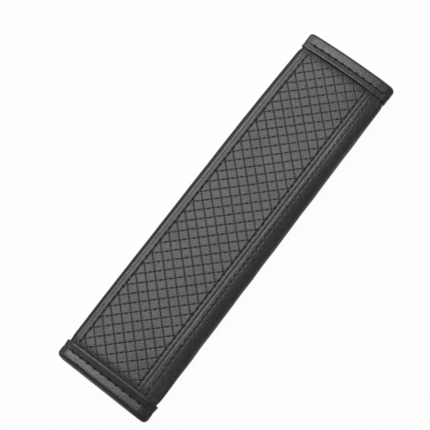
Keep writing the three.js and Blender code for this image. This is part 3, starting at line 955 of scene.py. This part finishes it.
def quilt_threads(material):
    """Every stitch of the quilting, from needle hole to needle hole."""
    half = BORDER_REACH / DIAMOND_WIDTH
    top = (LIP_Y - DIAMOND_SHIFT) / DIAMOND_LENGTH
    bottom = (-LIP_Y - DIAMOND_SHIFT) / DIAMOND_LENGTH
    starts, ends = [], []
    lowest = math.floor(bottom - half)
    highest = math.ceil(top + half)
    for line in range(lowest, highest + 1):
        total = line + 0.5
        for hole in range(HOLES_PER_SIDE * (2 * lowest - 2), HOLES_PER_SIDE * (2 * highest + 2)):
            runs = [0.5 + (hole + step) / HOLES_PER_SIDE for step in (0, 1)]
            for slant in (1, -1):
                places = []
                for run in runs:
                    across = (total + run) / 2
                    up = (total - run) / 2 * slant
                    places.append((across, up))
                if all(abs(a) <= half + 0.02 and bottom < u < top for a, u in places):
                    starts.append(places[0])
                    ends.append(places[1])
    made = []
    for places in (np.array(starts), np.array(ends)):
        along = QUILT_CENTRE + places[:, 0] * DIAMOND_WIDTH
        y = DIAMOND_SHIFT + places[:, 1] * DIAMOND_LENGTH
        made.append(on_section(along, y, pressed(PILLOW_RISE + GROOVE_DEPTH, y, OUTER_PRESS)))
    up = np.tile([0.0, 0.0, 1.0], (len(starts), 1))
    batch = stitches(made[0], made[1], up, QUILT_THREAD_RADIUS, 0.3, 0.0, sides=5)
    thread_piece("quilting_thread", [batch], material)


# The smooth panels

def panel_rows(step):
    """Rows along Y for a leaf's panel: fine between the lips, a few under the bindings."""
    last = LIP_Y - DIP_LEAD
    middle = np.linspace(-last, last, int(2 * last / step) + 1)
    return np.concatenate([[-LEAF_END_Y, -LIP_Y - 2], middle, [LIP_Y + 2, LEAF_END_Y]])


def ridge_depth(distance, seam_depth, crest, half_width, height):
    """The folded edge beside a seam: down in the seam, then a narrow ridge, then flat."""
    seam = seam_depth * np.exp(-np.clip(distance, 0, None) / SEAM_WIDTH)
    return seam - height * bump(distance - crest, half_width)


def cover_shell(name, columns, rows, relief, material, painted_shade):
    along, y = np.meshgrid(columns, rows)
    drop = cover_press(along)
    outer = on_section(along, y, pressed(relief(along, y), y, drop))
    share = turned_in(along)
    leather_depth = COVER_THICKNESS * (1 - share) + LINING_THICKNESS * share
    inner = on_section(along, y, leather_depth + press_at(y) * drop)
    inner = inner[:, :: 2] if len(columns) % 2 else inner
    shade = np.maximum(painted_shade(along, y), lip_shadow_line(y))
    return shell(name, outer, inner, material, shade)


def free_edge_panel(material):
    start = -EDGE_LENGTH - HEM_WIDTH
    seam_edge = LEFT_SEAM - SEWN_GAP / 2
    columns = np.concatenate([
        np.linspace(start, -EDGE_LENGTH, 8)[:-1],
        np.linspace(-EDGE_LENGTH, 0, 17)[:-1],
        np.linspace(0, seam_edge, 16),
    ])
    rows = panel_rows(0.8)

    def relief(along, y):
        ridge = ridge_depth(LEFT_SEAM - along, LEFT_SEAM_DEPTH, **LEFT_RIDGE)
        uneven = EDGE_RIPPLE * ripple(along, y, EDGE_RIPPLE_SIZE, SEED + 1)
        return ridge + uneven * (1 - turned_in(along))

    # Painted shade round the free edge's turn and in the left-hand seam
    def painted_shade(along, y):
        start, full, fade, end = EDGE_SHADE_PLACES
        edge = smooth_step((start - along) / (start - full)) * smooth_step((along - end) / (fade - end))
        seam = LEFT_SEAM_SHADE * np.exp(-np.abs(LEFT_SEAM - along) / SEAM_SHADE_WIDTH)
        return np.maximum(seam, EDGE_SHADE * edge)

    piece = cover_shell("free_edge_leather", columns, rows, relief, material, painted_shade)
    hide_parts("free_edge_panel")


def hole_field(along, y, row, pitch, phase, half_along=0.4, half_y=0.7):
    """How close each place is to a needle hole of a row that runs along Y."""
    count = (y - phase) / pitch
    to_hole = (count - np.round(count)) * pitch
    return bump(along - row, half_along) * bump(to_hole, half_y)


def fold_relief(along, y):
    from_seam = along - RIGHT_SEAM
    depth = ridge_depth(from_seam, RIGHT_SEAM_DEPTH, **RIGHT_RIDGE)
    depth = depth + STRIP_SLOPE * np.clip(from_seam, 0, STRIP_WIDTH)
    step = smooth_step((from_seam - TOPSTITCH_INSET) / TOPSTITCH_STEP_WIDTH + 0.5)
    holes = hole_field(along, y, **TOPSTITCH, half_along=0.5, half_y=0.8)
    depth = depth + TOPSTITCH_STEP * step + TOPSTITCH_HOLE_DEPTH * holes
    for seam in TAPE_SEAMS:
        depth = depth + TAPE_GROOVE_DEPTH * bump(along - seam["row"], TAPE_GROOVE_WIDTH)
        depth = depth + TAPE_HOLE_DEPTH * hole_field(along, y, **seam)
    uneven = FOLD_RIPPLE * ripple(along, y, FOLD_RIPPLE_SIZE, SEED + 2)
    return depth + uneven * (1 - turned_in(along))


# Painted shade in the right-hand seam, along the topstitch and in the needle holes
def fold_painted_shade(along, y):
    shades = [
        RIGHT_SEAM_SHADE * np.exp(-np.abs(along - RIGHT_SEAM) / SEAM_SHADE_WIDTH),
        TOPSTITCH_LINE_SHADE * bump(along - TOPSTITCH["row"], 0.5),
        hole_field(along, y, **TOPSTITCH, half_along=0.8, half_y=0.85),
    ]
    shades += [TAPE_HOLE_SHADE * hole_field(along, y, **seam) for seam in TAPE_SEAMS]
    return np.max(shades, axis=0)


def fold_and_back_panel(material):
    """The leather from the right-hand seam round the fold and the back, finer at its stitches."""
    near_seam, far_seam = (seam["row"] for seam in TAPE_SEAMS[::-1])
    strip_end = TOPSTITCH["row"] + 1.2
    stops = [
        (RIGHT_SEAM + SEWN_GAP / 2, 21), (strip_end, 33), (FLAT_LENGTH + FOLD_LENGTH, 25),
        (near_seam - 1.5, 23), (far_seam + 1.5, 14), (COVER_LENGTH + EDGE_LENGTH, 5),
    ]
    last = COVER_LENGTH + EDGE_LENGTH + HEM_WIDTH
    ends = [start for start, _ in stops[1:]] + [last]
    columns = [np.linspace(start, end, steps + 1)[:-1] for (start, steps), end in zip(stops, ends)]
    columns = np.concatenate([*columns, [last]])
    rows = panel_rows(0.6)
    piece = cover_shell("fold_and_back_leather", columns, rows, fold_relief, material, fold_painted_shade)
    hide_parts("fold_and_back_panel")


def row_of_stitches(row, pitch, phase, depth, radius, lift=0.16):
    """Stitches of a row along Y on the cover's outside."""
    reach = LIP_Y - ROW_END_GAP
    first, last = math.ceil((-reach - phase) / pitch), math.floor((reach - phase) / pitch)
    base = on_section(row, phase + np.arange(first, last + 1) * pitch, depth)
    outer, inner = on_section(row, 0.0, np.array([0.0, 1.0]))
    normals = np.tile(outer - inner, (len(base) - 1, 1))
    return stitches(base[:-1], base[1:], normals, radius, STITCH_DIVE, lift)


def sewn_rows(material):
    depth = PILLOW_RISE + BORDER_DEPTH
    both = (LEFT_BORDER, RIGHT_BORDER)
    borders = [row_of_stitches(**row, depth=depth, radius=ROW_THREAD_RADIUS) for row in both]
    topstitch = row_of_stitches(**TOPSTITCH, depth=0.42, radius=HEAVY_THREAD_RADIUS, lift=0.03)
    tape_rows = [row_of_stitches(**seam, depth=0.25, radius=ROW_THREAD_RADIUS) for seam in TAPE_SEAMS]
    thread_piece("border_thread", borders, material)
    thread_piece("topstitch_thread", [topstitch], material)
    thread_piece("tape_seam_thread", tape_rows, material)


# The inside of the leaves

def sleeve_loop(outer_depth, inner_depth, nose_reach, spacing=1.5, nose_steps=5):
    """Places round the pad's section between two depths: out over the cover, back inside."""
    middle = (outer_depth + inner_depth) / 2
    half = (inner_depth - outer_depth) / 2
    count = int(COVER_LENGTH / spacing)
    round_places = np.linspace(0, COVER_LENGTH, count + 1)
    x, z = section_point(round_places, outer_depth)
    inner_x, inner_z = section_point(round_places, inner_depth)
    angles = np.linspace(90, 0, nose_steps + 1)[:-1]
    nose_x = EDGE_CENTRE_X - nose_reach * np.sin(np.radians(angles))
    rise = half * np.cos(np.radians(angles))
    nose_z = FRONT_LEVEL - middle + rise
    nose_inner_z = FRONT_LEVEL - middle - rise
    flip = 2 * MIDDLE_LEVEL
    nose_back = nose_x[::-1][:-1]
    xs = np.concatenate([nose_x, x, nose_back, nose_x, inner_x[::-1], nose_back])
    zs = np.concatenate([
        nose_z, z, (flip - nose_z)[::-1][:-1], flip - nose_z[:1],
        (flip - nose_inner_z)[1:], inner_z[::-1], nose_inner_z[::-1][:-1],
    ])
    return xs, zs


def tube_piece(name, stations, material, shade=None, sharp_degrees=50):
    """A closed body of loops that follow each other along Y. The first and last loops are pinched shut."""
    loops = []
    for y, (xs, zs) in stations:
        loops.append(np.stack([xs, np.broadcast_to(y, xs.shape), zs], axis=-1))
    grid = np.array(loops)
    rows, columns = grid.shape[:2]
    faces = grid_quads(rows, columns, closed=True).tolist()
    for row, turned in ((0, True), (rows - 1, False)):
        base = row * columns
        for step in range(1, columns // 2):
            quad = [base + step - 1 if step > 1 else base, base + step,
                    base + columns - step, base + (columns - step + 1) % columns]
            quad = list(dict.fromkeys(quad))
            faces.append(quad[::-1] if turned else quad)
        last = columns // 2
        rest = [base + last - 1, base + last, base + last + 1]
        if columns % 2:
            rest = [base + last - 1, base + last, base + last + 1, base + last + 2]
        faces.append(rest[::-1] if turned else rest)
    points = settle(grid.reshape(-1, 3))
    piece = make_piece(name, points, faces, material, sharp_degrees)
    if shade is not None:
        set_shade(piece, shade.ravel())
    return piece


def leaf_rows(spacing):
    """Places along Y for the layers inside a leaf."""
    last = LIP_Y - DIP_LEAD
    middle = np.linspace(-LIP_Y + DIP_LENGTH, LIP_Y - DIP_LENGTH, int(2 * LIP_Y / spacing))
    dip = np.linspace(LIP_Y - DIP_LENGTH, last, 6)[1:]
    return np.concatenate([[-LEAF_END_Y], -dip[::-1], middle, dip, [LEAF_END_Y]])


def foam_core(material):
    stations = []
    for y in leaf_rows(4):
        press = float(press_at(y))
        outer = COVER_THICKNESS + LAYER_GAP + press * OUTER_PRESS
        inner = COVER_THICKNESS + LAYER_GAP + FOAM_THICKNESS - press * INNER_PRESS
        stations.append((y, sleeve_loop(outer, inner, (inner - outer) / 2)))
    piece = tube_piece("foam_padding", stations, material)
    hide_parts("foam_core")


def lining(material):
    start = HEM_WIDTH + LAYER_GAP
    columns = np.linspace(start, COVER_LENGTH - start, 90)
    along, y = np.meshgrid(columns, leaf_rows(3))
    press = press_at(y)
    depth = LEAF_THICKNESS - LINING_THICKNESS - press * INNER_PRESS
    outer = on_section(along, y, depth)
    inner = on_section(along, y, depth + LINING_THICKNESS)
    piece = shell("lining_cloth", outer, inner, material)
    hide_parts("lining")


# The closure tapes

def closure_tape(name, replaced, facing_down, material):
    """A tape with woven selvedges and a raised field, on one leaf's inside."""
    seat = MIDDLE_LEVEL + CHANNEL_HEIGHT / 2 - LAYER_GAP
    height = seat - MIDDLE_LEVEL - CLOSED_TAPE_GAP / 2
    length = 2 * (LIP_Y - TAPE_END_GAP)
    across = np.concatenate([
        np.linspace(0, TAPE_SELVEDGE, 5)[:-1],
        np.linspace(TAPE_SELVEDGE, TAPE_WIDTH - TAPE_SELVEDGE, 41),
        np.linspace(TAPE_WIDTH - TAPE_SELVEDGE, TAPE_WIDTH, 5)[1:],
    ])
    y = np.linspace(-length / 2, length / 2, int(length / 0.45))
    across_grid, y_grid = np.meshgrid(across, y)
    into_field = np.minimum(across_grid - TAPE_SELVEDGE, TAPE_WIDTH - TAPE_SELVEDGE - across_grid)
    field = smooth_step(into_field / 0.35)
    tuft, row = across_grid / TUFT_WIDTH, y_grid / TUFT_LENGTH
    pile = 0.5 + 0.5 * np.sin(2 * math.pi * tuft) * np.sin(2 * math.pi * row)
    pile = pile * (0.6 + 0.4 * hashed(np.round(tuft), np.round(row), seed=5))
    rib = RIB_HEIGHT * np.sin(2 * math.pi * y_grid / RIB_PITCH)
    top = TAPE_THICKNESS - 0.05 + rib + field * (height - TAPE_THICKNESS - TUFT_DEPTH * (1 - pile))
    x = EDGE_CENTRE_X + TAPE_INSET + across_grid
    sign = -1 if facing_down else 1
    level = seat if facing_down else 2 * MIDDLE_LEVEL - seat
    face = np.stack([x, y_grid, level + sign * top], axis=-1)
    base_x, base_y = np.meshgrid(EDGE_CENTRE_X + TAPE_INSET + np.linspace(0, TAPE_WIDTH, 5),
                                 np.linspace(-length / 2, length / 2, 40))
    base = np.stack([base_x, base_y, np.full(base_x.shape, level)], axis=-1)
    piece = shell(name, face, base, material)
    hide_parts(replaced)


# The bindings

def to_binding_hole(along, side):
    """How far each place is from the nearest needle hole of the long stitches round an end."""
    count = (along - BINDING_PHASE[side]) / BINDING_STITCH_PITCH
    return np.abs(count - np.round(count)) * BINDING_STITCH_PITCH


def binding_outer(from_end, along, side):
    """The depth of a binding's outside: a lip that rises to its edge, the stitch row and the roll."""
    off = from_end - (BINDING_WIDTH - BINDING_STITCH_INSET[side])
    lip_share = np.clip(off / (BINDING_STITCH_INSET[side] - LIP_ROUND - LIP_RIM), 0, 1)
    crest = np.interp(along, LIP_CREST_PLACES, LIP_CREST[side])
    lip = -LIP_FOOT - (crest - LIP_FOOT) * lip_share
    notch = np.clip(1 - to_binding_hole(along, side) / NOTCH_HALF_WIDTH, 0, 1)
    shoulder = SHOULDER + NOTCH_LENGTH * notch
    up = np.clip(-off / shoulder, 0, 1)
    roll = -LIP_FOOT - (ROLL_CREST[side] - LIP_FOOT) * np.sqrt(1 - (1 - up) ** 2)
    roll = roll + ROLL_SWELL * np.clip((-off - ROLL_TOP) / ROLL_TOP, -1, 0) ** 2
    depth = np.where(off > 0, lip, roll)
    depth = depth + (STITCH_LINE_DEPTH + NOTCH_DEPTH * notch) * bump(off, STITCH_LINE_WIDTH)
    depth = depth + NOTCH_FLOOR * notch * bump(off + 0.4, 0.4)
    fold_start = smooth_step((along - FLAT_LENGTH - FOLD_LEAD) / FOLD_EASE)
    fold_end = smooth_step((COVER_LENGTH - FLAT_LENGTH - FOLD_LEAD - along) / FOLD_EASE)
    at_fold = fold_start * fold_end
    at_nose = np.maximum(bump(along, NOSE_WIDTH), bump(along - COVER_LENGTH, NOSE_WIDTH))
    at_back = smooth_step((along - COVER_LENGTH / 2) / FOLD_EASE)
    tight = 1 - BINDING_TIGHTNESS * np.max([at_fold, at_nose, at_back], axis=0)
    level = BINDING_BACK_LEVEL + SIDE_THINNING * np.maximum(at_fold, NOSE_THINNING * at_nose)
    return level + (depth - level) * tight


def binding_painted_shade(from_end, along, side):
    """How deep in the shade of the stitch line and its notches each place is."""
    off = from_end - (BINDING_WIDTH - BINDING_STITCH_INSET[side])
    notch = np.clip(1 - to_binding_hole(along, side) / NOTCH_HALF_WIDTH, 0, 1)
    on_roll = smooth_step(1.2 + np.minimum(off, 0) / (0.25 + 0.9 * notch))
    dark = np.where(off <= 0.01, on_roll, bump(off, 0.22))
    return dark * (STITCH_LINE_SHADE + NOTCH_SHADE * np.minimum(1, 1.6 * notch))


def end_binding(name, replaced, side, material):
    """The folded leather strip over one end: its outside, its lip, and the pocket that holds the leaves."""
    middle = LEAF_THICKNESS / 2
    inner_depth = LEAF_THICKNESS + INNER_BINDING_RISE
    count = int(COVER_LENGTH / BINDING_SPACING)
    places = np.linspace(0, COVER_LENGTH, count + 1)

    def place_y(from_end):
        return side * (PAD_LENGTH / 2 - from_end)

    def loop(outer, inner):
        """A closed loop: outer and inner are depths for every place, or one depth."""
        outer = np.broadcast_to(outer, places.shape)
        inner = np.broadcast_to(inner, places.shape)
        x, z = section_point(places, outer)
        inner_x, inner_z = section_point(places, inner)
        steps = 9
        angles = np.radians(np.linspace(0, 180, steps + 1)[1:-1])

        def nose(outer_depth, inner_depth):
            reach = EDGE_RADIUS - outer_depth
            mid = (outer_depth + inner_depth) / 2
            half = (inner_depth - outer_depth) / 2
            return EDGE_CENTRE_X - reach * np.sin(angles), FRONT_LEVEL - mid + half * np.cos(angles)

        front_x, front_z = nose(outer[0], inner[0])
        back_x, back_z = nose(outer[-1], inner[-1])
        xs = np.concatenate([x, back_x, inner_x[::-1], front_x[::-1]])
        zs = np.concatenate([z, 2 * MIDDLE_LEVEL - back_z, inner_z[::-1], front_z[::-1]])
        return xs, zs

    stations, shades = [], []

    def add(from_end, outer, inner, painted_shade=0.0):
        stations.append((place_y(from_end), loop(outer, inner)))
        row = np.zeros(len(stations[-1][1][0]))
        row[: len(places)] = painted_shade
        shades.append(row)

    for angle in np.radians(np.linspace(88, 4, 12)):
        from_end = ROLL_LENGTH[side] * (1 - math.sin(angle))
        at_roll = binding_outer(ROLL_LENGTH[side], places, side)
        outer = middle - (middle - at_roll) * math.cos(angle)
        inner = middle + (inner_depth - middle) * math.cos(angle)
        add(from_end, outer, inner)
    stitch = BINDING_WIDTH - BINDING_STITCH_INSET[side]
    lip_start = BINDING_WIDTH - LIP_ROUND
    flat_rows = np.concatenate([
        np.linspace(ROLL_LENGTH[side], stitch - 1.5, 9)[:-1],
        np.linspace(stitch - 1.5, stitch + 0.5, 17)[:-1],
        np.linspace(stitch + 0.5, lip_start, 8),
    ])
    for from_end in flat_rows:
        add(from_end, binding_outer(from_end, places, side), inner_depth,
            binding_painted_shade(from_end, places, side))
    pocket_outer = OUTER_PRESS - LAYER_GAP
    pocket_inner = LEAF_THICKNESS - INNER_PRESS + LAYER_GAP
    edge_outer = binding_outer(lip_start, places, side)
    for angle in np.radians([15, 30, 45, 60, 75, 90]):
        from_end = BINDING_WIDTH - LIP_ROUND * (1 - math.sin(angle))
        drop = LIP_ROUND * (1 - math.cos(angle))
        add(from_end, edge_outer + drop, inner_depth - drop * 0.5)
    for from_end in (BINDING_WIDTH, (BINDING_WIDTH + BINDING_END_THICKNESS) / 2, BINDING_END_THICKNESS):
        add(from_end, pocket_outer, pocket_inner)
    piece = tube_piece(name, stations, material, np.array(shades))
    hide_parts(replaced)


def binding_threads(material):
    """The long stitches that run round each end."""
    batches = []
    for side in (1, -1):
        y = side * (PAD_LENGTH / 2 - BINDING_WIDTH + BINDING_STITCH_INSET[side])
        first = math.ceil((0.5 - BINDING_PHASE[side]) / BINDING_STITCH_PITCH)
        last = math.floor((COVER_LENGTH - 0.5 - BINDING_PHASE[side]) / BINDING_STITCH_PITCH)
        holes = BINDING_PHASE[side] + np.arange(first, last + 1) * BINDING_STITCH_PITCH
        depth = 0.2
        base = on_section(holes, y, depth)
        normals = on_section(holes, y, depth - 1.0) - base
        normals = (normals[:-1] + normals[1:]) / 2
        normals = normals / np.linalg.norm(normals, axis=1, keepdims=True)
        batches.append(stitches(base[:-1], base[1:], normals, HEAVY_THREAD_RADIUS, 0.4, 0.15))
    thread_piece("binding_thread", batches, material)


# The floor and the light

def add_floor():
    """A pale floor that the camera sees as white, apart from the pad's own soft shadow."""
    size = 3.0
    mesh = bpy.data.meshes.new("floor")
    corners = [(-size, -size, 0), (size, -size, 0), (size, size, 0), (-size, size, 0)]
    mesh.from_pydata(corners, [], [(0, 1, 2, 3)])
    floor = bpy.data.objects.new("floor", mesh)
    bpy.context.scene.collection.objects.link(floor)
    material, graph, surface, _ = new_material("floor")
    surface["Base Color"].default_value = grey(FLOOR_GREY)
    surface["Roughness"].default_value = 0.9
    surface["Specular IOR Level"].default_value = 0.1
    glow = graph.add("Emission", Color=(1, 1, 1, 1), Strength=1.0)
    rays = graph.add("LightPath").outputs
    seen = graph.math("MAXIMUM", rays["Is Camera Ray"], rays["Is Glossy Ray"])
    seen = graph.math("MAXIMUM", seen, rays["Is Transmission Ray"])
    mixed = graph.add("MixShader", Fac=graph.math("MULTIPLY", seen, FLOOR_GLOW))
    graph.links.new(graph.nodes["Principled BSDF"].outputs["BSDF"], mixed.inputs[1])
    graph.links.new(glow.outputs["Emission"], mixed.inputs[2])
    graph.links.new(mixed.outputs["Shader"], graph.nodes["Material Output"].inputs["Surface"])
    mesh.materials.append(material)


def add_light():
    """A softbox whose length lies along the pad."""
    data = bpy.data.lights.new("softbox", "AREA")
    data.shape = "RECTANGLE"
    data.size = LIGHT_WIDTH
    data.size_y = LIGHT_LENGTH
    data.energy = LIGHT_POWER
    light = bpy.data.objects.new("softbox", data)
    towards = Vector(LIGHT_DIRECTION).normalized()
    across = Vector((0, 1, 0)).cross(towards).normalized()
    turn = Matrix((across, towards.cross(across), towards)).transposed()
    light.matrix_world = Matrix.Translation(towards * LIGHT_DISTANCE) @ turn.to_4x4()
    bpy.context.scene.collection.objects.link(light)


def add_world():
    world = bpy.data.worlds.new("world")
    graph = Graph(world)
    background = graph.nodes["Background"].inputs
    background["Color"].default_value = (1, 1, 1, 1)
    seen = graph.add("LightPath").outputs["Is Camera Ray"]
    graph.put(background["Strength"], graph.math("MULTIPLY_ADD", seen, 1 - WORLD_LEVEL, WORLD_LEVEL))
    bpy.context.scene.world = world


bpy.context.scene.view_settings.view_transform = "Standard"
add_camera()
quilted_leather = leather("quilted_leather", QUILTED_GREY, 0.48, 0.75, 0.08, 0.52, marked=True)
smooth_leather = leather("smooth_leather", SMOOTH_GREY, 0.37, 0.7, 0.06, 0.2)
binding_leather = leather("binding_leather", BINDING_GREY, 0.4, 0.7, 0.07, 0.4)
thread = thread_material("thread", THREAD_GREY)
loop_pile = woven("loop_tape", TAPE_GREY, 0.6, 0.15)
hook_pile = woven("hook_tape", TAPE_GREY, 0.6, 0.15, 0.7, 0.0)
quilted_panel(quilted_leather)
quilt_threads(thread)
free_edge_panel(smooth_leather)
fold_and_back_panel(smooth_leather)
sewn_rows(thread)
foam_core(foam_material("foam"))
lining(woven("lining_cloth", LINING_GREY, 0.5, 0.08))
closure_tape("loop_tape", "loop_strip", True, loop_pile)
closure_tape("hook_tape", "hook_strip", False, hook_pile)
end_binding("top_binding", "top_end_binding", 1, binding_leather)
end_binding("bottom_binding", "bottom_end_binding", -1, binding_leather)
binding_threads(thread)
add_floor()
add_light()
add_world()
